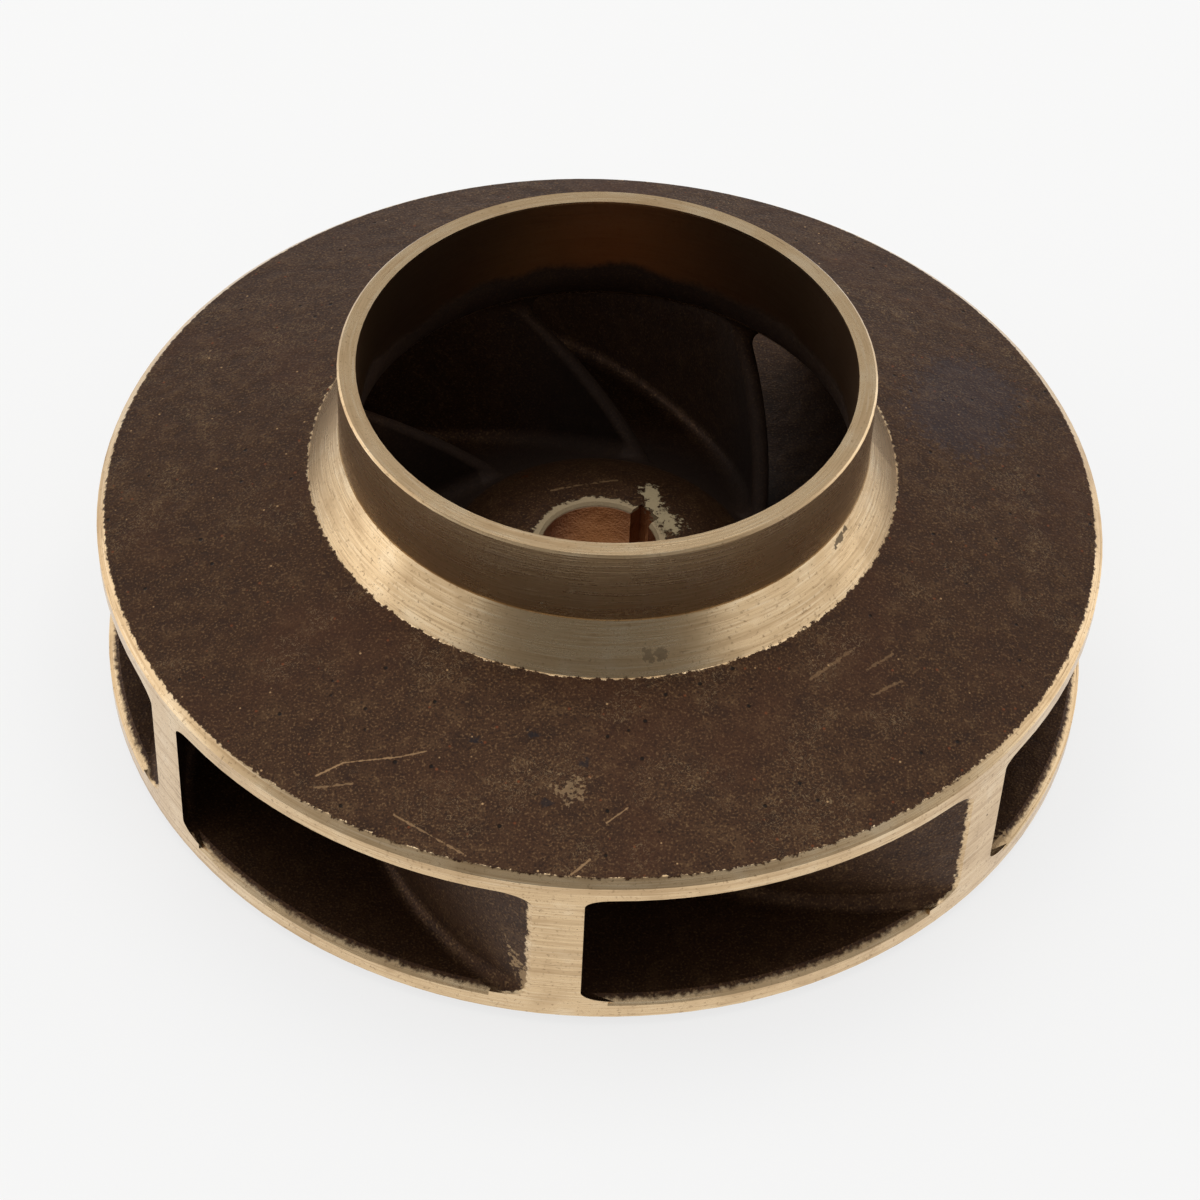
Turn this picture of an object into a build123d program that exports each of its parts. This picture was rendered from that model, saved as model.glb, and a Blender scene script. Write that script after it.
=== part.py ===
from build123d import *
import math
import os

# Closed single-suction pump impeller: one bronze casting, turned on its rims,
# its eye ring and its bore, with seven backward-curved vanes between two shrouds.
# Millimetres. The Z axis is the shaft axis and points out of the eye.
# The origin is at the middle of the bore, on the rear face of the hub.

# Rear side
outlet_radius = 120.65          # turned outside radius of both shrouds and the vanes
boss_stand = 3.2                # hub's rear face stands this far behind the rear shroud
boss_radius = 27.0
boss_chamfer = 1.0
rear_shroud = 5.5               # thickness of the rear shroud
rear_edge_depth = 2.5           # filed inner edge of the rear rim, measured inwards
rear_edge_drop = 1.5            # and downwards

# Front side
outlet_width = 36.2             # height of the passages where they leave the rim
front_rim = 3.9                 # turned land on the rim of the front shroud
front_chamfer_in = 1.95         # turned chamfer above that land, measured inwards
front_chamfer_up = 1.65         # and upwards
front_slope = 12.6              # rise of the front shroud's outer face, degrees
passage_slope = 12.0            # rise of its inner face, degrees
throat_radius = 14.0            # bend from the eye into the passages

# Turned neck and wear ring round the eye
eye_radius = 58.4
neck_foot_wall = 11.7           # beyond the eye, where the neck meets the front shroud
neck_top_wall = 4.5
neck_height = 11.1
ring_wall = 4.3                 # beyond the eye, to the running surface of the wear ring
ring_height = 20.2
ring_chamfer = 0.5

# Hub
hub_height = 24.1               # top of the hub above the rear shroud's inner face
hub_land_radius = 17.0          # flat round the bore
hub_nose_radius = 34.3          # rounding of the nose, outside the flat
hub_foot_radius = 80.0          # where the hub has run out into the rear shroud
bore_radius = 14.2875           # 1 1/8 in shaft
bore_chamfer = 0.8
key_width = 6.35
key_depth = 3.2                 # beyond the wall of the bore
key_angle = 46.0                # round from the X axis, degrees

# Vanes
vane_count = 7
vane_phase = -92.4              # where the first vane leaves the rim, degrees
vane_wrap = 87.2                # turned through from the hub end of the nose to the rim
inlet_angle = 34.0              # between vane and circle at the hub end of the nose
outlet_angle = 25.0             # between vane and circle at the rim
nose_thickness = 4.2
tail_thickness = 4.8
nose_hub_radius = 43.6          # nose of the vane where it leaves the hub
nose_hub_height = 12.9          # above the rear shroud's inner face
nose_lean = 0.634               # outward shift of the nose for each unit of height
root_fillet = 3.2               # moulded fillets round each passage

# Core, the body of sand that leaves the waterway
core_print = 7.0                # how far the core reaches outside the casting
vane_sections = 4
points_on_side = 7

# Heights above the origin that follow from the sizes above
shroud_back = boss_stand
floor_height = shroud_back + rear_shroud
ceiling_at_rim = floor_height + outlet_width
rim_top = ceiling_at_rim + front_rim
chamfer_top = rim_top + front_chamfer_up
chamfer_radius = outlet_radius - front_chamfer_in
neck_foot_radius = eye_radius + neck_foot_wall
neck_top_radius = eye_radius + neck_top_wall
ring_radius = eye_radius + ring_wall
front_rise = math.tan(math.radians(front_slope))
passage_rise = math.tan(math.radians(passage_slope))
neck_foot = chamfer_top + (chamfer_radius - neck_foot_radius) * front_rise
neck_top = neck_foot + neck_height
eye_top = neck_top + ring_height
hub_top = floor_height + hub_height
core_radius = outlet_radius + core_print
core_top = eye_top + core_print
throat_corner = ceiling_at_rim + (outlet_radius - eye_radius) * passage_rise
ceiling_at_print = ceiling_at_rim - core_print * passage_rise
file_slope = rear_edge_drop / rear_edge_depth
file_bottom = floor_height - (rear_edge_depth + core_print) * file_slope

# The hub's flank is a convex arc and a concave arc, level at both ends.
hub_run = hub_foot_radius - hub_land_radius
hub_bend = 2 * math.atan(hub_height / hub_run)
hub_middle_radius = hub_land_radius + hub_nose_radius * math.sin(hub_bend)
hub_middle_height = hub_top - hub_nose_radius * (1 - math.cos(hub_bend))


def camber_angle(radius):
    """Angle of the vane's middle line at a radius: a cubic with both blade angles."""
    span = outlet_radius - nose_hub_radius
    share = (radius - nose_hub_radius) / span
    start_slope = span / math.tan(math.radians(inlet_angle)) / nose_hub_radius
    end_slope = span / math.tan(math.radians(outlet_angle)) / outlet_radius
    wrap_part = -math.radians(vane_wrap) * (2 * share**3 - 3 * share**2 + 1)
    start_part = start_slope * (share**3 - 2 * share**2 + share)
    end_part = end_slope * (share**3 - share**2)
    return wrap_part + start_part + end_part


def camber_point(radius):
    """Point of the middle line, in plan."""
    angle = camber_angle(radius)
    return Vector(radius * math.cos(angle), radius * math.sin(angle))


def camber_direction(radius):
    """Direction of the middle line, outwards, in plan."""
    step = 0.01
    return (camber_point(radius + step) - camber_point(radius - step)).normalized()


def half_thickness(radius):
    """Half the thickness of the vane, which grows evenly towards the rim."""
    share = (radius - nose_hub_radius) / (outlet_radius - nose_hub_radius)
    return (nose_thickness + (tail_thickness - nose_thickness) * share) / 2


def side_point(radius, side):
    """Point of the vane's face: side is 1 on the concave face and -1 on the other."""
    direction = camber_direction(radius)
    across = Vector(-direction.Y, direction.X)
    return camber_point(radius) + across * (side * half_thickness(radius))


def side_way(radius, side):
    """Way along the vane's face for each unit of radius, level with its middle line."""
    step = 0.01
    travel = side_point(radius + step, side) - side_point(radius - step, side)
    return camber_direction(radius) * (travel.length / (2 * step))


def nose_radius_at(height):
    """Radius at which the leaning nose of the vane stands at a height."""
    above_hub_end = height - floor_height - nose_hub_height
    return nose_hub_radius + nose_lean * above_hub_end


# One vane, taller than the waterway, as a loft through level sections. Its nose
# starts further out in each section, so that it leans across the eye.
vane_bottom = floor_height - core_print
vane_top = throat_corner + throat_radius / 2
with BuildPart() as vane:
    for index in range(vane_sections):
        height = vane_bottom + (vane_top - vane_bottom) * index / (vane_sections - 1)
        nose = nose_radius_at(height)
        tail = core_radius + 2 * tail_thickness
        run = tail - nose
        shares = [i / (points_on_side - 1) for i in range(points_on_side)]
        nose_tip = camber_point(nose) - camber_direction(nose) * half_thickness(nose)
        with BuildSketch(Plane.XY.offset(height)):
            with BuildLine():
                concave, convex = [
                    Edge.make_spline(
                        [side_point(nose + run * share, side) for share in shares],
                        tangents=[side_way(nose, side) * run, side_way(tail, side) * run],
                        parameters=shares,
                        scale=False,
                    )
                    for side in (1, -1)
                ]
                add([concave, convex])
                Line(concave @ 1, convex @ 1)
                ThreePointArc(convex @ 0, nose_tip, concave @ 0)
            make_face()
    loft()
vane.part.label = "vane"


def moulded_edges(walls):
    """Edges where the vane faces meet the hub and the shrouds, inside the core."""
    edges = walls.edges()
    outside = core_radius - core_print / 10
    return ShapeList(
        edge
        for edge in edges
        if sum(edge.is_same(other) for other in edges) == 1
        and math.hypot((edge @ 0.5).X, (edge @ 0.5).Y) < outside
    )


# The core: the whole waterway from the eye to the rim, less the seven vanes. The
# moulded fillets go on round each vane as it is taken out.
with BuildPart() as core:
    with BuildSketch(Plane.XZ):
        with BuildLine():
            throat = FilletPolyline(
                (0, core_top),
                (eye_radius, core_top),
                (eye_radius, throat_corner),
                (core_radius, ceiling_at_print),
                radius=(0, throat_radius),
            )
            Polyline(
                throat @ 1,
                (core_radius, floor_height),
                (hub_foot_radius, floor_height),
            )
            flank = TangentArc(
                (hub_foot_radius, floor_height),
                (hub_middle_radius, hub_middle_height),
                tangent=(-1, 0),
            )
            nose_arc = TangentArc(flank @ 1, (hub_land_radius, hub_top), tangent=flank % 1)
            Polyline(nose_arc @ 1, (0, hub_top), (0, core_top))
        make_face()
    revolve(axis=Axis.Z)
    for index in range(vane_count):
        with Locations(Rotation(0, 0, vane_phase + index * 360 / vane_count)):
            add(vane.part, mode=Mode.SUBTRACT)
        walls = core.faces(Select.LAST).filter_by(GeomType.BSPLINE)
        fillet(moulded_edges(walls), root_fillet)
core.part.label = "core"

# Wedge that the file takes off the rear rim in each passage. It spares a block round
# the tail of each vane, as wide as the vane and its fillets.
tail_direction = camber_direction(outlet_radius)
tail_angle = math.degrees(math.atan2(tail_direction.Y, tail_direction.X))
spared_length = 4 * core_print
spared_width = tail_thickness + 2 * root_fillet
with BuildPart() as filing:
    with BuildSketch(Plane.XZ):
        with BuildLine():
            Polyline(
                (outlet_radius - rear_edge_depth, floor_height),
                (core_radius, floor_height),
                (core_radius, file_bottom),
                close=True,
            )
        make_face()
    revolve(axis=Axis.Z)
    with BuildSketch(Plane.XY.offset(file_bottom)):
        with PolarLocations(0, vane_count, start_angle=vane_phase):
            with Locations(Location(camber_point(outlet_radius), tail_angle)):
                Rectangle(spared_length, spared_width)
    extrude(amount=floor_height - file_bottom, mode=Mode.SUBTRACT)
filing.part.label = "filing"

# The casting's outside as it leaves the lathe.
with BuildPart() as impeller:
    with BuildSketch(Plane.XZ):
        with BuildLine():
            Polyline(
                (0, 0),
                (boss_radius - boss_chamfer, 0),
                (boss_radius, boss_chamfer),
                (boss_radius, shroud_back),
                (outlet_radius, shroud_back),
                (outlet_radius, rim_top),
                (chamfer_radius, chamfer_top),
                (neck_foot_radius, neck_foot),
                (neck_top_radius, neck_top),
                (ring_radius, neck_top),
                (ring_radius, eye_top - ring_chamfer),
                (ring_radius - ring_chamfer, eye_top),
                (0, eye_top),
                (0, 0),
            )
        make_face()
    revolve(axis=Axis.Z)

    # The waterway opens as the core is knocked out, and then its rim is filed.
    add(core.part, mode=Mode.SUBTRACT)
    add(filing.part, mode=Mode.SUBTRACT)

    # The bore and its keyway, and the lead-in at both ends of the bore.
    with BuildSketch():
        Circle(bore_radius)
    extrude(amount=hub_top, mode=Mode.SUBTRACT)
    bore_rims = impeller.edges().filter_by(GeomType.CIRCLE)
    bore_rims = bore_rims.filter_by(lambda rim: abs(rim.radius - bore_radius) < bore_chamfer / 100)
    chamfer(bore_rims, bore_chamfer)
    with BuildSketch():
        with Locations(Rotation(0, 0, key_angle)):
            with Locations((0, 0)):
                Rectangle(bore_radius + key_depth, key_width, align=(Align.MIN, Align.CENTER))
    extrude(amount=hub_top, mode=Mode.SUBTRACT)
impeller.part.label = "impeller"

os.makedirs("parts", exist_ok=True)
export_step(impeller.part, "parts/impeller.step")
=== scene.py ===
import logging
import math
from dataclasses import dataclass, field

import bpy
from mathutils import Matrix, Vector

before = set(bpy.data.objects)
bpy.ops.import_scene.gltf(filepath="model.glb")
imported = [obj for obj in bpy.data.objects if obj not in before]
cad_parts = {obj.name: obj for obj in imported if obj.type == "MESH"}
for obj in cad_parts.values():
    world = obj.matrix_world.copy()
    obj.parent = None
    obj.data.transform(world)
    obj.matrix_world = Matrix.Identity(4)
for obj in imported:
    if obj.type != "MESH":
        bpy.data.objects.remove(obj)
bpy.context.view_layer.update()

log = logging.getLogger("impeller")

Socket = bpy.types.NodeSocket
Tree = bpy.types.NodeTree
Place = tuple[float, float, float]
Value = Socket | float

MM_PER_M = 1000.0


def linear(code: str) -> tuple[float, float, float, float]:
    """Turns an sRGB hex colour into the linear colour that shaders take.

    Args:
        code: the colour, such as "#a1886f".

    Returns:
        Red, green, blue and an alpha of 1.
    """
    parts = [int(code[i : i + 2], 16) / 255 for i in (1, 3, 5)]
    red, green, blue = (c / 12.92 if c <= 0.04045 else ((c + 0.055) / 1.055) ** 2.4 for c in parts)
    return red, green, blue, 1.0


def add_node(
    tree: Tree,
    kind: str,
    inputs: dict[int | str, object] | None = None,
    output: int | str = 0,
    **settings: object,
) -> Socket | None:
    """Adds one node with its settings, values and links.

    Args:
        tree: the node tree.
        kind: the node's type name, without its ShaderNode prefix.
        inputs: input name or number to a value, or to the socket that feeds it.
        output: which output to hand back.
        settings: attributes of the node.

    Returns:
        The chosen output, or None for a node that has none.
    """
    node = tree.nodes.new("ShaderNode" + kind)
    for name, value in settings.items():
        setattr(node, name, value)
    for name, value in (inputs or {}).items():
        if isinstance(value, Socket):
            tree.links.new(value, node.inputs[name])
        else:
            node.inputs[name].default_value = value
    return node.outputs[output] if len(node.outputs) else None


@dataclass
class CastingSpace:
    """Places on the casting in millimetres, shared by every layer of its finish.

    The shaft axis is Z, and heights count from the rear face of the hub. The teeth are
    those of torn edges. The sweep is the length that a radian counts as on the lathe.
    """

    tree: Tree
    teeth: float = 1.4
    sweep: float = 2.0
    place: Socket = field(init=False)
    radius: Socket = field(init=False)
    height: Socket = field(init=False)
    lathe: Socket = field(init=False)
    ragged: Socket = field(init=False)

    def __post_init__(self) -> None:
        """Works out radius, height and the lathe's own coordinates at each place."""
        tree = self.tree
        metres = add_node(tree, "TexCoord", output="Object")
        self.place = add_node(tree, "VectorMath", {0: metres, "Scale": MM_PER_M}, operation="SCALE")
        across = add_node(tree, "SeparateXYZ", {0: self.place})
        along, self.height = across.node.outputs[1], across.node.outputs[2]
        flat = add_node(tree, "CombineXYZ", {0: across, 1: along})
        self.radius = add_node(tree, "VectorMath", {0: flat}, output="Value", operation="LENGTH")
        angle = add_node(tree, "Math", {0: along, 1: across}, operation="ARCTAN2")
        # The sweep is far below the radius, so that patterns here are drawn out into rings.
        swept = add_node(tree, "Math", {0: angle, 1: self.sweep}, operation="MULTIPLY")
        self.lathe = add_node(tree, "CombineXYZ", {0: self.radius, 1: self.height, 2: swept})
        # Torn edge where a tool stopped, from 0 to 1 around 0.5.
        teeth = {"Vector": self.place, "Scale": 1 / self.teeth, "Detail": 3.0, "Roughness": 0.65}
        self.ragged = add_node(tree, "TexNoise", teeth)

    def zone(
        self, value: Value, outside: float, inside: float, fray: float = 0.0, depth: float = 1.0
    ) -> Socket:
        """Mask of a region with a torn edge.

        Args:
            value: the quantity that the edge depends on, in millimetres.
            outside: where the mask is still 0.
            inside: where it has reached depth.
            fray: how far the edge wanders, in millimetres.
            depth: the mask's value in the region.

        Returns:
            The mask.
        """
        if fray:
            torn = {"Value": self.ragged, "From Min": 0.3, "From Max": 0.7, "To Min": -fray, "To Max": fray}
            wander = add_node(self.tree, "MapRange", torn)
            value = add_node(self.tree, "Math", {0: value, 1: wander}, operation="ADD")
        limits = {"Value": value, "From Min": outside, "From Max": inside, "To Max": depth}
        return add_node(self.tree, "MapRange", limits, interpolation_type="SMOOTHSTEP")

    def overlap(self, *masks: Socket) -> Socket:
        """Mask that is 1 only where every given mask is.

        Args:
            masks: two or more masks.

        Returns:
            The mask.
        """
        result = masks[0]
        for mask in masks[1:]:
            result = add_node(self.tree, "Math", {0: result, 1: mask}, operation="MULTIPLY")
        return result

    def union(self, *masks: Socket) -> Socket:
        """Mask that is 1 where any given mask is.

        Args:
            masks: two or more masks.

        Returns:
            The mask.
        """
        result = masks[0]
        for mask in masks[1:]:
            result = add_node(self.tree, "Math", {0: result, 1: mask}, operation="MAXIMUM")
        return result


@dataclass(frozen=True)
class Tone:
    """One colour of a finish, with how rough and how metallic it is and how far it stands out."""

    colour: str
    roughness: float
    metal: float
    relief: float = 0.0


@dataclass(frozen=True)
class Stroke:
    """A scratch, stain or bare patch between two places on the casting, in millimetres."""

    start: Place
    end: Place
    width: float
    fray: float = 0.5
    depth: float = 1.0

    def mask(self, space: CastingSpace) -> Socket:
        """Works out where the stroke is.

        Args:
            space: the casting's places.

        Returns:
            A mask that is depth along the stroke's middle line and 0 outside its width.
        """
        tree = space.tree
        run = Vector(self.end) - Vector(self.start)
        away = add_node(tree, "VectorMath", {0: space.place, 1: self.start}, operation="SUBTRACT")
        measure = {0: away, 1: tuple(run / run.length_squared)}
        share = add_node(tree, "VectorMath", measure, output="Value", operation="DOT_PRODUCT")
        share = add_node(tree, "Clamp", {"Value": share})
        nearest = add_node(tree, "VectorMath", {0: tuple(run), "Scale": share}, operation="SCALE")
        distance = add_node(tree, "VectorMath", {0: away, 1: nearest}, output="Value", operation="DISTANCE")
        half = self.width / 2
        return space.zone(distance, half * 1.25, half * 0.7, half * self.fray, self.depth)


@dataclass(frozen=True)
class Specks:
    """Round specks scattered at a mean spacing, in millimetres, in a share of the places for one."""

    spacing: float
    width: float
    share: float
    depth: float = 1.0

    def mask(self, space: CastingSpace) -> Socket:
        """Works out where the specks are.

        Args:
            space: the casting's places.

        Returns:
            A mask that is depth in the specks and 0 between them.
        """
        tree = space.tree
        distance = add_node(tree, "TexVoronoi", {"Vector": space.place, "Scale": 1 / self.spacing})
        chance = add_node(tree, "SeparateColor", {0: distance.node.outputs["Color"]})
        rim = self.width / self.spacing / 2
        spot = space.zone(distance, rim, rim / 2, depth=self.depth)
        chosen = add_node(tree, "Math", {0: chance, 1: self.share}, operation="LESS_THAN")
        return space.overlap(spot, chosen)


@dataclass
class Finish:
    """Colour, roughness, metal and relief of a surface, built up tone by tone.

    The relief is in millimetres.
    """

    tree: Tree
    colour: Socket | tuple[float, float, float, float]
    roughness: Value
    metal: Value
    relief: Value = 0.0
    specular: float = 0.3

    def lay(self, mask: Socket, tone: Tone) -> None:
        """Lays a tone over the finish.

        Args:
            mask: where the tone covers it.
            tone: the tone.
        """
        tree = self.tree
        colours = {"Factor": mask, 6: self.colour, 7: linear(tone.colour)}
        self.colour = add_node(tree, "Mix", colours, output=2, data_type="RGBA")
        self.roughness = add_node(tree, "Mix", {"Factor": mask, 2: self.roughness, 3: tone.roughness})
        self.metal = add_node(tree, "Mix", {"Factor": mask, 2: self.metal, 3: tone.metal})
        if tone.relief:
            raised = add_node(tree, "Math", {0: self.relief, 1: tone.relief}, operation="ADD")
            self.relief = add_node(tree, "Mix", {"Factor": mask, 2: self.relief, 3: raised})

    def emboss(self, pattern: Socket, height: float) -> None:
        """Adds a pattern to the relief.

        Args:
            pattern: the pattern, from 0 to 1.
            height: how far it stands out, in millimetres.
        """
        raised = {0: pattern, 1: height, 2: self.relief}
        self.relief = add_node(self.tree, "Math", raised, operation="MULTIPLY_ADD")

    def shader(self) -> Socket:
        """Makes the finish's shader, with its relief in true millimetres.

        Returns:
            The shader.
        """
        relief = {"Strength": 1.0, "Distance": 1 / MM_PER_M, "Height": self.relief}
        bump = add_node(self.tree, "Bump", relief)
        inputs = {
            "Base Color": self.colour,
            "Metallic": self.metal,
            "Roughness": self.roughness,
            "Specular IOR Level": self.specular,
            "Normal": bump,
        }
        return add_node(self.tree, "BsdfPrincipled", inputs)


@dataclass(frozen=True)
class SandCastSkin:
    """Sand-cast bronze as it leaves the mould, under a brown oxide skin.

    To the eye it is dark chocolate brown and dull, with the grit of the sand, dark pits,
    rusty flecks, crusts like dried mud and a few points where the bare bronze shows.
    """

    body: Tone = Tone("#452d1b", 0.50, 0.60)
    deep: Tone = Tone("#2c1a10", 0.58, 0.50)
    worn: Tone = Tone("#765a3c", 0.46, 0.65)
    rusty: Tone = Tone("#4a2a17", 0.56, 0.50)
    fleck: Tone = Tone("#7c4220", 0.60, 0.40)
    pit: Tone = Tone("#120b07", 0.75, 0.20, -0.25)
    crust: Tone = Tone("#8f7757", 0.60, 0.45)
    bare: Tone = Tone("#b8946a", 0.40, 0.80)
    grit: float = 0.55
    grit_height: float = 0.10
    patch: float = 5.0
    patch_height: float = 0.35
    cloud: float = 34.0
    vein: float = 1.7
    crust_patch: float = 15.0
    flecks: Specks = Specks(2.6, 0.9, 0.18, 0.7)
    bare_points: Specks = Specks(3.3, 0.7, 0.18, 0.8)
    pits: Specks = Specks(3.9, 1.2, 0.22, 0.85)

    def build(self, space: CastingSpace) -> Finish:
        """Builds the skin as it is in the waterway, where nothing has touched it.

        Args:
            space: the casting's places.

        Returns:
            The finish.
        """
        tree, place = space.tree, space.place
        finish = Finish(tree, linear(self.body.colour), self.body.roughness, self.body.metal)
        patch = add_node(tree, "TexNoise", {"Vector": place, "Scale": 1 / self.patch, "Detail": 3.0})
        grit = add_node(tree, "TexNoise", {"Vector": place, "Scale": 1 / self.grit, "Detail": 1.0})
        finish.lay(space.zone(patch, 0.50, 0.30, depth=0.45), self.deep)
        finish.lay(space.zone(patch, 0.52, 0.74, depth=0.22), self.worn)
        finish.lay(space.zone(grit, 0.47, 0.30, depth=0.75), self.deep)
        finish.lay(space.zone(grit, 0.55, 0.74, depth=0.7), self.worn)
        finish.emboss(patch, self.patch_height)
        finish.emboss(grit, self.grit_height)
        return finish

    def weathered(self, space: CastingSpace) -> Finish:
        """Builds the skin as it is on the outside, with its rust, crust, pits and bare points.

        Args:
            space: the casting's places.

        Returns:
            The finish.
        """
        tree, place = space.tree, space.place
        finish = self.build(space)
        cloud = add_node(tree, "TexNoise", {"Vector": place, "Scale": 1 / self.cloud, "Detail": 3.0})
        finish.lay(space.zone(cloud, 0.48, 0.70, depth=0.4), self.rusty)
        # Crust: thin crooked veins, like dried mud, in patches.
        veins = {
            "Vector": place,
            "Scale": 1 / self.vein,
            "Detail": 2.0,
            "Roughness": 0.6,
            "Distortion": 0.8,
        }
        vein = add_node(tree, "TexNoise", veins)
        offset = add_node(tree, "Math", {0: vein, 1: 0.5}, operation="SUBTRACT")
        offset = add_node(tree, "Math", {0: offset}, operation="ABSOLUTE")
        patches = {"Vector": place, "Scale": 1 / self.crust_patch, "Detail": 2.0}
        patches = space.zone(add_node(tree, "TexNoise", patches), 0.52, 0.64, depth=0.6)
        finish.lay(space.overlap(space.zone(offset, 0.016, 0.003), patches), self.crust)
        finish.lay(self.flecks.mask(space), self.fleck)
        finish.lay(self.bare_points.mask(space), self.bare)
        finish.lay(self.pits.mask(space), self.pit)
        return finish


@dataclass(frozen=True)
class TurnedBronze:
    """Tin bronze turned on a lathe and left bare, with a light tarnish.

    To the eye it is a greyish tan, brighter than the skin, with fine rings from the tool
    all round, slow changes of tarnish, short scuffs and a few dark pores.
    """

    body: Tone = Tone("#d4b78f", 0.27, 1.0)
    bright: Tone = Tone("#e6d0ae", 0.25, 1.0)
    dull: Tone = Tone("#ac8d67", 0.36, 1.0)
    scuff: Tone = Tone("#7d6143", 0.46, 0.9)
    pore: Tone = Tone("#2e2118", 0.70, 0.4)
    feed: float = 0.45
    feed_height: float = 0.03
    rings: float = 2.2
    tarnish: float = 11.0
    grain: float = 0.9
    dash_scale: Place = (2.2, 2.2, 4.0)
    pores: Specks = Specks(6.5, 0.8, 0.14, 0.85)

    def build(self, space: CastingSpace) -> Finish:
        """Builds the turned metal.

        Args:
            space: the casting's places.

        Returns:
            The finish.
        """
        tree, place, lathe = space.tree, space.place, space.lathe
        finish = Finish(tree, linear(self.body.colour), self.body.roughness, self.body.metal)
        ring = add_node(tree, "TexNoise", {"Vector": lathe, "Scale": 1 / self.feed, "Detail": 1.0})
        band = add_node(tree, "TexNoise", {"Vector": lathe, "Scale": 1 / self.rings, "Detail": 2.0})
        cloud = add_node(tree, "TexNoise", {"Vector": place, "Scale": 1 / self.tarnish, "Detail": 3.0})
        grains = {"Vector": place, "Scale": 1 / self.grain, "Detail": 2.0, "Roughness": 0.7}
        grain = add_node(tree, "TexNoise", grains)
        finish.lay(space.zone(cloud, 0.50, 0.30, depth=0.4), self.dull)
        finish.lay(space.zone(cloud, 0.52, 0.72, depth=0.5), self.bright)
        finish.lay(space.zone(band, 0.50, 0.30, depth=0.45), self.dull)
        finish.lay(space.zone(ring, 0.48, 0.30, depth=0.45), self.dull)
        finish.lay(space.zone(ring, 0.54, 0.72, depth=0.45), self.bright)
        finish.lay(space.zone(grain, 0.44, 0.26, depth=0.55), self.scuff)
        # Scuffs: short dark dashes along the rings.
        dashes = add_node(tree, "VectorMath", {0: lathe, 1: self.dash_scale}, operation="MULTIPLY")
        dash = add_node(tree, "TexNoise", {"Vector": dashes, "Scale": 1.0, "Detail": 2.0, "Roughness": 0.6})
        finish.lay(space.zone(dash, 0.36, 0.24, depth=0.7), self.scuff)
        finish.lay(self.pores.mask(space), self.pore)
        finish.emboss(ring, self.feed_height)
        return finish


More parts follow.
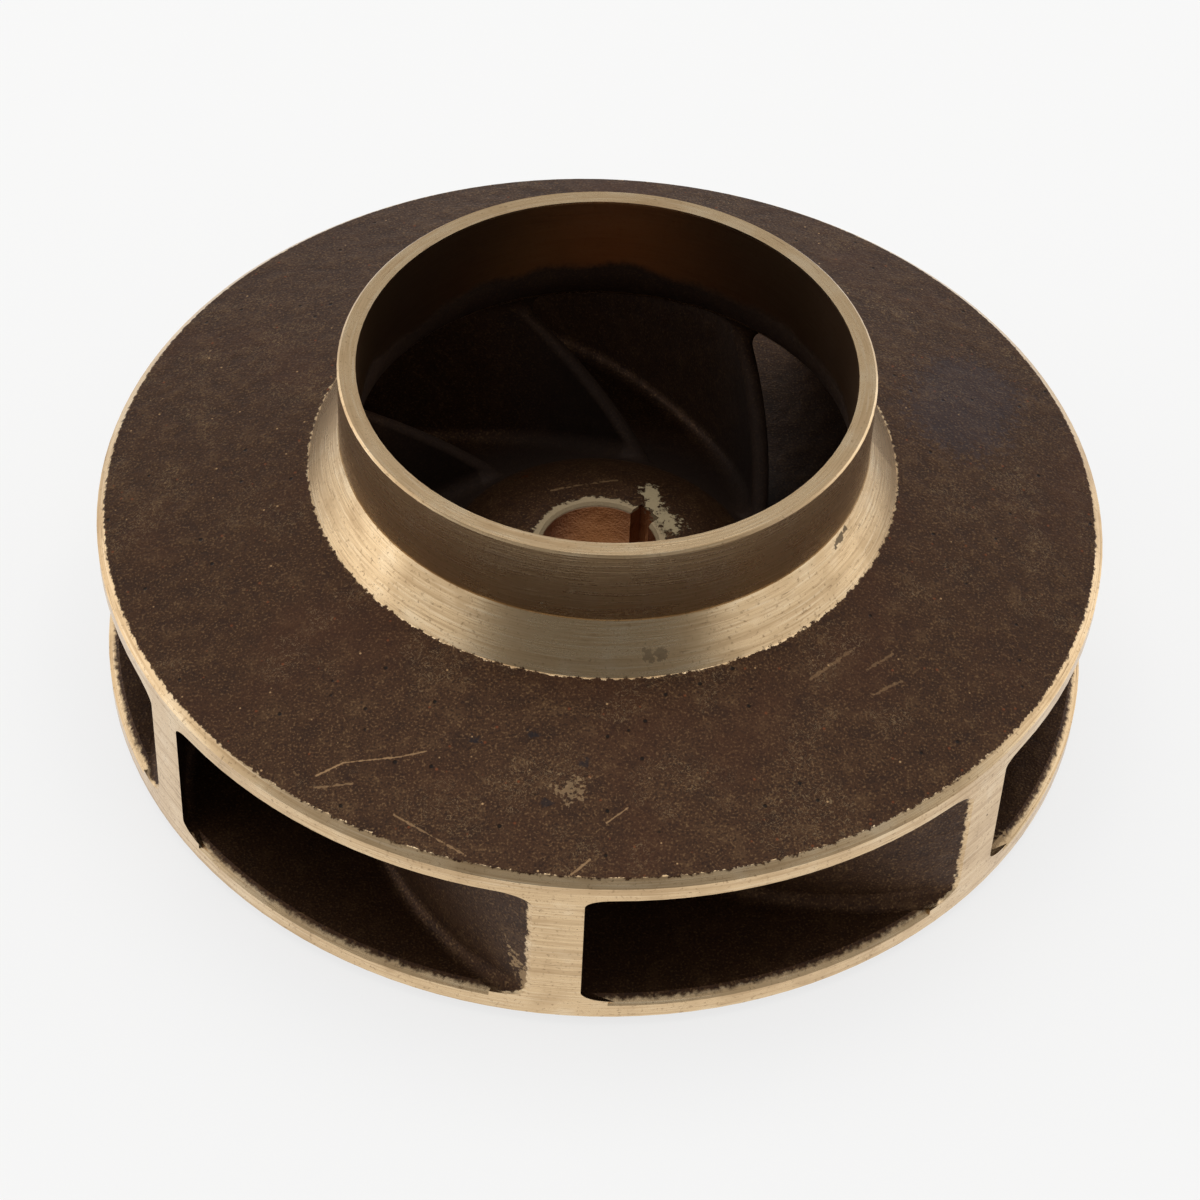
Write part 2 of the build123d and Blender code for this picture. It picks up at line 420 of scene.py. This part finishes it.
@dataclass(frozen=True)
class Wear:
    """Marks that handling, fitting and storage have left on the impeller, and a painted glint on the hub.
    """

    scratched: Tone = Tone("#a5845f", 0.45, 0.8)
    bared: Tone = Tone("#b0926c", 0.55, 0.6)
    flaked: Tone = Tone("#b5a380", 0.75, 0.15, 0.25)
    pocked: Tone = Tone("#17141a", 0.60, 0.3)
    stained: Tone = Tone("#5a4c3a", 0.55, 0.7)
    blued: Tone = Tone("#30303c", 0.46, 0.4)
    # Painted highlight colour of an orange glint.
    painted_orange_glint: Tone = Tone("#7a3a12", 0.35, 0.9)
    scratches: tuple[Stroke, ...] = (
        Stroke((-60.0, -94.8, 51.9), (-54.3, -91.7, 53.2), 0.4, 0.9, 0.75),
        Stroke((-54.3, -91.7, 53.2), (-41.8, -90.5, 54.7), 0.35, 1.0, 0.7),
        Stroke((-41.8, -90.5, 54.7), (-35.9, -89.1, 55.5), 0.35, 1.1, 0.6),
        Stroke((-60.4, -97.8, 51.3), (-51.9, -97.0, 52.4), 0.5, 1.2, 0.45),
        Stroke((-42.0, -104.8, 51.7), (-25.6, -114.5, 50.7), 0.4, 0.9, 0.5),
        Stroke((4.6, -105.5, 53.4), (9.1, -101.6, 54.2), 0.35, 0.7, 0.6),
        Stroke((-2.6, -118.2, 50.5), (1.3, -114.5, 51.4), 0.45, 0.9, 0.6),
        Stroke((49.2, -64.9, 58.8), (59.3, -54.8, 58.9), 0.7, 1.2, 0.3),
        Stroke((62.0, -60.2, 57.6), (68.1, -54.7, 57.5), 0.6, 1.2, 0.3),
        Stroke((63.6, -66.6, 56.4), (70.1, -61.7, 56.1), 0.6, 1.2, 0.3),
    )
    hub_scratch: Stroke = Stroke((-12.5, 18.6, 32.4), (3.5, 23.6, 32.1), 0.6, 0.9, 0.7)
    bare_patches: tuple[Stroke, ...] = (
        Stroke((-4.6, -98.0, 54.8), (-2.4, -98.0, 55.1), 3.4, 2.0, 0.4),
        Stroke((-17.5, -118.0, 25.0), (-11.2, -119.5, 11.5), 2.6, 1.4, 0.8),
        Stroke((94.0, -74.0, 9.2), (98.5, -68.0, 9.4), 5.0, 1.2, 0.8),
        Stroke((81.5, -82.0, 32.5), (74.5, -81.0, 27.0), 2.4, 1.6, 0.75),
        Stroke((88.0, -79.5, 38.5), (78.5, -81.5, 30.5), 0.8, 1.6, 0.6),
    )
    pocks: tuple[Stroke, ...] = (
        Stroke((-26.0, -86.3, 56.8), (-24.6, -86.3, 57.0), 1.9, 1.0, 0.7),
        Stroke((-13.0, -84.6, 57.8), (-12.2, -84.6, 57.9), 1.6, 1.0, 0.7),
        Stroke((-1.4, -91.3, 56.6), (-0.6, -91.3, 56.6), 1.6, 1.0, 0.6),
        Stroke((-9.2, -101.3, 54.2), (-8.2, -101.3, 54.2), 1.6, 1.0, 0.6),
    )
    flakes: tuple[Stroke, ...] = (
        Stroke((12.2, 20.8, 32.5), (12.9, 14.8, 32.7), 4.2, 0.9),
        Stroke((14.6, 11.6, 32.8), (17.6, 8.2, 32.8), 5.2, 0.9),
    )
    stains: tuple[Stroke, ...] = (
        Stroke((12.3, -66.2, 65.6), (15.2, -65.6, 65.6), 2.8, 1.3, 0.75),
        Stroke((54.0, -34.0, 71.0), (56.3, -29.4, 71.4), 1.2, 1.4, 0.8),
    )
    blued_patch: Stroke = Stroke((86.0, 26.0, 57.0), (90.0, 38.0, 56.0), 26.0, 0.5, 0.3)
    # Painted highlight: an orange glint on the hub's nose.
    hub_glint_spot: Stroke = Stroke((-22.5, 27.0, 30.5), (-18.5, 28.5, 30.5), 3.0, 1.0)

    def lay(self, finish: Finish, space: CastingSpace, tone: Tone, strokes: tuple[Stroke, ...]) -> None:
        """Lays marks of one tone over a finish.

        Args:
            finish: the finish so far.
            space: the casting's places.
            tone: the marks' tone.
            strokes: the marks.
        """
        finish.lay(space.union(*(stroke.mask(space) for stroke in strokes)), tone)


@dataclass
class ImpellerCasting:
    """The bronze casting, with its as-cast skin and its turned rims, neck, ring and bore."""

    outlet_radius: float = 120.65
    chamfer_radius: float = 118.7
    rim_top: float = 48.8
    floor_height: float = 8.7
    neck_foot_radius: float = 70.1
    neck_foot: float = 61.3
    eye_wall_middle: float = 60.5
    eye_top: float = 92.61
    eye_turned_down_to: float = 71.8
    wave_length: float = 25.0
    wave_height: float = 14.0
    hub_top: float = 32.8
    hub_reach: float = 38.0
    shroud_slope: float = 12.3
    bore_radius: float = 14.29
    keyway_reach: float = 17.7
    boss_chamfer: float = 1.0
    skin: SandCastSkin = SandCastSkin()
    metal: TurnedBronze = TurnedBronze()
    wear: Wear = Wear()
    # Painted shade for the deep waterway round the eye.
    painted_eye_shade: Tone = Tone("#261b15", 0.80, 0.20)
    # Painted shade for the turned wall inside the eye.
    painted_eye_wall_shade: Tone = Tone("#8c684a", 0.34, 1.0)
    lip: Tone = Tone("#b8a381", 0.7, 0.3, 0.2)
    rough_bore: Tone = Tone("#8a5a33", 0.42, 0.9)

    def rims(self, space: CastingSpace) -> Socket:
        """Where the lathe and the file have cut the two rims and the vane ends.

        Args:
            space: the casting's places.

        Returns:
            The mask.
        """
        land = space.zone(space.radius, self.outlet_radius - 0.75, self.outlet_radius - 0.4, 0.35)
        over_rim = space.zone(space.height, self.rim_top - 2.0, self.rim_top - 1.5)
        chamfer = space.zone(space.radius, self.chamfer_radius - 0.1, self.chamfer_radius + 0.3, 0.45)
        under_floor = space.zone(space.height, self.floor_height + 0.15, self.floor_height - 0.05)
        over_back = space.zone(space.height, self.floor_height / 2, self.floor_height / 2 + 0.5)
        filed = space.zone(space.radius, self.outlet_radius - 2.0, self.outlet_radius - 0.8, 0.5)
        front_edge = space.overlap(over_rim, chamfer)
        rear_edge = space.overlap(under_floor, over_back, filed)
        return space.union(land, front_edge, rear_edge)

    def eye_and_neck(self, space: CastingSpace) -> Socket:
        """Where the lathe has cut the neck, the wear ring and the upper part of the eye.

        Args:
            space: the casting's places.

        Returns:
            The mask.
        """
        over_foot = space.zone(space.height, self.neck_foot - 2.0, self.neck_foot - 1.6)
        inside_foot = space.zone(space.radius, self.neck_foot_radius + 0.3, self.neck_foot_radius, 0.55)
        outside = space.zone(space.radius, self.eye_wall_middle - 0.1, self.eye_wall_middle + 0.1)
        # The cut inside the eye runs out in waves.
        waves = {"Vector": space.place, "Scale": 1 / self.wave_length, "Detail": 2.0}
        level = {0: add_node(space.tree, "TexNoise", waves), 1: self.wave_height, 2: space.height}
        level = add_node(space.tree, "Math", level, operation="MULTIPLY_ADD")
        deep_cut = self.eye_turned_down_to + self.wave_height / 2
        in_the_eye = space.zone(level, deep_cut - 1.5, deep_cut + 1.5, 0.4)
        return space.union(space.overlap(over_foot, inside_foot, outside), in_the_eye)

    def outside(self, space: CastingSpace) -> Socket:
        """Where the shrouds face outwards, on the front and on the back.

        Args:
            space: the casting's places.

        Returns:
            The mask.
        """
        rise = math.tan(math.radians(self.shroud_slope))
        level = {0: space.radius, 1: rise, 2: space.height}
        level = add_node(space.tree, "Math", level, operation="MULTIPLY_ADD")
        at_rim = self.outlet_radius * rise + self.rim_top
        front = space.zone(level, at_rim - 1.8, at_rim - 1.0)
        round_eye = space.zone(space.radius, self.eye_wall_middle - 0.1, self.eye_wall_middle + 0.1)
        back = space.zone(space.height, self.floor_height / 2 + 0.4, self.floor_height / 2)
        return space.union(space.overlap(front, round_eye), back)

    def shrouds(self, space: CastingSpace) -> Socket:
        """Makes the shader of the shrouds' outer faces.

        Args:
            space: the casting's places.

        Returns:
            The shader.
        """
        finish = self.skin.weathered(space)
        self.wear.lay(finish, space, self.wear.blued, (self.wear.blued_patch,))
        self.wear.lay(finish, space, self.wear.pocked, self.wear.pocks)
        self.wear.lay(finish, space, self.wear.bared, self.wear.bare_patches[:1])
        self.wear.lay(finish, space, self.wear.scratched, self.wear.scratches)
        return finish.shader()

    def waterway(self, space: CastingSpace) -> Socket:
        """Makes the shader of the waterway, with shade painted darker towards the eye.

        Args:
            space: the casting's places.

        Returns:
            The shader.
        """
        finish = self.skin.build(space)
        wall = self.eye_wall_middle
        # Painted shade: the skin is darkened towards the eye, where the waterway lies deep in shade.
        finish.lay(space.zone(space.radius, wall + 12.0, wall - 8.0, depth=0.8), self.painted_eye_shade)
        self.wear.lay(finish, space, self.wear.bared, self.wear.bare_patches[1:])
        return finish.shader()

    def machined(self, space: CastingSpace) -> Socket:
        """Makes the shader of the turned surfaces, with shade painted on them inside the eye.

        Args:
            space: the casting's places.

        Returns:
            The shader.
        """
        finish = self.metal.build(space)
        within = space.zone(space.radius, self.eye_wall_middle, self.eye_wall_middle - 1.0)
        under_edge = space.zone(space.height, self.eye_top - 0.3, self.eye_top - 0.8, depth=0.85)
        over_cast = space.zone(space.height, self.neck_foot, self.neck_foot + 3.0)
        # Painted shade: the turned wall inside the eye, below its top edge, is darkened where it lies in
        # shade.
        finish.lay(space.overlap(within, under_edge, over_cast), self.painted_eye_wall_shade)
        self.wear.lay(finish, space, self.wear.stained, self.wear.stains)
        return finish.shader()

    def hub(self, space: CastingSpace) -> Socket:
        """Makes the shader of the hub's nose, its bore and keyway, and the bare lip round them, with a
        painted orange glint on the nose.

        Args:
            space: the casting's places.

        Returns:
            The shader.
        """
        finish = self.skin.build(space)
        in_bore = space.zone(space.radius, self.keyway_reach + 0.2, self.keyway_reach)
        below = space.zone(space.height, self.hub_top - 0.2, self.hub_top - 0.4)
        finish.lay(space.overlap(in_bore, below), self.rough_bore)
        round_bore = space.zone(space.radius, self.bore_radius + 2.6, self.bore_radius + 2.0, 0.9)
        on_hub = space.zone(space.height, self.hub_top - 1.2, self.hub_top - 0.6)
        finish.lay(space.overlap(round_bore, on_hub), self.lip)
        self.wear.lay(finish, space, self.wear.scratched, (self.wear.hub_scratch,))
        self.wear.lay(finish, space, self.wear.flaked, self.wear.flakes)
        # Painted highlight: an orange glint laid on the hub's nose.
        self.wear.lay(finish, space, self.wear.painted_orange_glint, (self.wear.hub_glint_spot,))
        return finish.shader()

    def finish(self) -> bpy.types.Material:
        """Makes the casting's material.

        Returns:
            The material.
        """
        material = bpy.data.materials.new("cast_bronze_part_turned")
        material.use_nodes = True
        tree = material.node_tree
        tree.nodes.clear()
        space = CastingSpace(tree)
        cast = {0: self.outside(space), 1: self.waterway(space), 2: self.shrouds(space)}
        cast = add_node(tree, "MixShader", cast)
        near_axis = space.zone(space.radius, self.hub_reach + 0.5, self.hub_reach - 0.5, 0.4)
        above_boss = space.zone(space.height, self.boss_chamfer + 0.2, self.boss_chamfer + 0.4)
        on_hub = space.overlap(near_axis, above_boss)
        cast = add_node(tree, "MixShader", {0: on_hub, 1: cast, 2: self.hub(space)})
        boss = space.zone(space.height, self.boss_chamfer + 0.4, self.boss_chamfer + 0.2)
        turned = space.union(self.rims(space), self.eye_and_neck(space), boss)
        surface = add_node(tree, "MixShader", {0: turned, 1: cast, 2: self.machined(space)})
        add_node(tree, "OutputMaterial", {"Surface": surface})
        return material

    def dress(self, casting: bpy.types.Object) -> bpy.types.Object:
        """Gives the casting its finish.

        Args:
            casting: the casting's object.

        Returns:
            The same object.
        """
        casting.data.materials.clear()
        casting.data.materials.append(self.finish())
        return casting


@dataclass
class StudioCamera:
    """The view down onto the front shroud and into the eye."""

    place: Place = (0.0, -0.58278, 0.62256)
    pitch: float = 46.27
    yaw: float = 0.0595
    roll: float = -2.7766
    focal_share: float = 3392.56 / 1200
    sensor: float = 36.0
    clip: tuple[float, float] = (0.01, 20.0)

    def build(self) -> bpy.types.Object:
        """Makes the camera and sets it as the scene's.

        Returns:
            The camera object.
        """
        pitch, yaw, roll = (math.radians(a) for a in (self.pitch, self.yaw, self.roll))
        down_by, up_by = math.sin(pitch), math.cos(pitch)
        base = Matrix(((1, 0, 0), (0, -down_by, -up_by), (0, up_by, -down_by)))
        aside, ahead = math.sin(yaw), math.cos(yaw)
        turn = Matrix(((ahead, 0, -aside), (0, 1, 0), (aside, 0, ahead)))
        lean, upright = math.sin(roll), math.cos(roll)
        tilt = Matrix(((upright, lean, 0), (-lean, upright, 0), (0, 0, 1)))
        right, down, forward = tilt @ turn @ base
        data = bpy.data.cameras.new("studio_camera")
        data.sensor_width = self.sensor
        data.lens = data.sensor_width * self.focal_share
        data.clip_start, data.clip_end = self.clip
        camera = bpy.data.objects.new("studio_camera", data)
        axes = Matrix((right, -down, -forward)).transposed()
        camera.matrix_world = Matrix.Translation(self.place) @ axes.to_4x4()
        bpy.context.scene.collection.objects.link(camera)
        bpy.context.scene.camera = camera
        return camera


@dataclass
class PaperFloor:
    """White paper under the impeller, wide enough to fill every view."""

    half: float = 4.0
    drop: float = 0.0001
    colour: str = "#f4f4f2"
    glow_seen: float = 0.75
    glow_mirrored: float = 1.0

    def paper(self) -> bpy.types.Material:
        """Makes matt white paper, which looks a little lighter to the camera and in mirrors.

        Returns:
            The material.
        """
        material = bpy.data.materials.new("matt_white_paper")
        material.use_nodes = True
        tree = material.node_tree
        tree.nodes.clear()
        sheet = add_node(tree, "BsdfDiffuse", {"Color": linear(self.colour)})
        light = add_node(tree, "Emission", {"Color": (1, 1, 1, 1), "Strength": 1.0})
        rays = add_node(tree, "LightPath", output="Is Camera Ray")
        mirrored = {0: rays.node.outputs["Is Glossy Ray"], 1: self.glow_mirrored}
        mirrored = add_node(tree, "Math", mirrored, operation="MULTIPLY")
        share = add_node(tree, "Math", {0: rays, 1: self.glow_seen, 2: mirrored}, operation="MULTIPLY_ADD")
        surface = add_node(tree, "MixShader", {0: share, 1: sheet, 2: light})
        add_node(tree, "OutputMaterial", {"Surface": surface})
        return material

    def build(self) -> bpy.types.Object:
        """Makes the floor.

        Returns:
            The floor.
        """
        mesh = bpy.data.meshes.new("paper_floor")
        signs = ((-1, -1), (1, -1), (1, 1), (-1, 1))
        corners = [(x * self.half, y * self.half, -self.drop) for x, y in signs]
        mesh.from_pydata(corners, [], [(0, 1, 2, 3)])
        mesh.materials.append(self.paper())
        floor = bpy.data.objects.new("paper_floor", mesh)
        bpy.context.scene.collection.objects.link(floor)
        return floor


@dataclass(frozen=True)
class SoftBox:
    """A square lamp that faces the impeller: place and side in metres, power in watts."""

    name: str
    place: Place
    side: float
    power: float
    aim: Place = (0.0, 0.0, 0.03)

    def build(self) -> bpy.types.Object:
        """Makes the lamp.

        Returns:
            The lamp.
        """
        data = bpy.data.lights.new(self.name, "AREA")
        data.size = self.side
        data.energy = self.power
        lamp = bpy.data.objects.new(self.name, data)
        lamp.location = self.place
        towards = Vector(self.aim) - Vector(self.place)
        lamp.rotation_euler = towards.to_track_quat("-Z", "Y").to_euler()
        bpy.context.scene.collection.objects.link(lamp)
        return lamp


@dataclass
class SoftLight:
    """White walls on three sides, a greyer ceiling, a dim room behind the camera, and lamps.

    The walls turn into the ceiling, and into the room behind, between two shares of a
    direction's length.
    """

    ceiling: float = 0.42
    ceiling_between: tuple[float, float] = (0.30, 0.62)
    dim: float = 0.17
    dim_between: tuple[float, float] = (-0.6, -0.8)
    lamps: tuple[SoftBox, ...] = (
        SoftBox("left_soft_box", (-1.6, 0.3, 0.5), 1.6, 5),
        SoftBox("right_soft_box", (1.6, 0.8, 0.5), 1.6, 4),
        SoftBox("top_soft_box", (0.0, 0.4, 2.2), 2.0, 17),
    )

    def world(self) -> bpy.types.World:
        """Makes the surroundings that the bronze mirrors and that fill the shadows.

        Returns:
            The world.
        """
        world = bpy.data.worlds.new("soft_studio")
        bpy.context.scene.world = world
        world.use_nodes = True
        tree = world.node_tree
        tree.nodes.clear()
        direction = add_node(tree, "TexCoord", output="Generated")
        towards = add_node(tree, "SeparateXYZ", {0: direction}, output=1)
        up = towards.node.outputs[2]
        low, high = self.ceiling_between
        overhead = {"Value": up, "From Min": low, "From Max": high, "To Min": 1.0, "To Max": self.ceiling}
        level = add_node(tree, "MapRange", overhead, interpolation_type="SMOOTHSTEP")
        near, far = self.dim_between
        room = {"Value": towards, "From Min": near, "From Max": far}
        behind_camera = add_node(tree, "MapRange", room, interpolation_type="SMOOTHSTEP")
        level = add_node(tree, "Mix", {"Factor": behind_camera, 2: level, 3: self.dim})
        seen = add_node(tree, "LightPath", output="Is Camera Ray")
        strength = add_node(tree, "Math", {0: level, 1: seen}, operation="MAXIMUM")
        surface = add_node(tree, "Background", {"Color": (1, 1, 1, 1), "Strength": strength})
        add_node(tree, "OutputWorld", {"Surface": surface})
        return world

    def build(self) -> None:
        """Makes the world and the lamps."""
        self.world()
        for lamp in self.lamps:
            lamp.build()


def main() -> None:
    """Builds the studio and the impeller, and reports each piece."""
    bpy.context.scene.view_settings.view_transform = "Standard"
    camera = StudioCamera().build()
    log.info("%s has a %.1f mm lens", camera.name, camera.data.lens)
    floor = PaperFloor().build()
    log.info("%s laid", floor.name)
    SoftLight().build()
    casting = ImpellerCasting().dress(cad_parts["impeller"])
    log.info("%s dressed, %d faces", casting.name, len(casting.data.polygons))


if __name__ == "__main__":
    logging.basicConfig(level=logging.INFO)
    main()
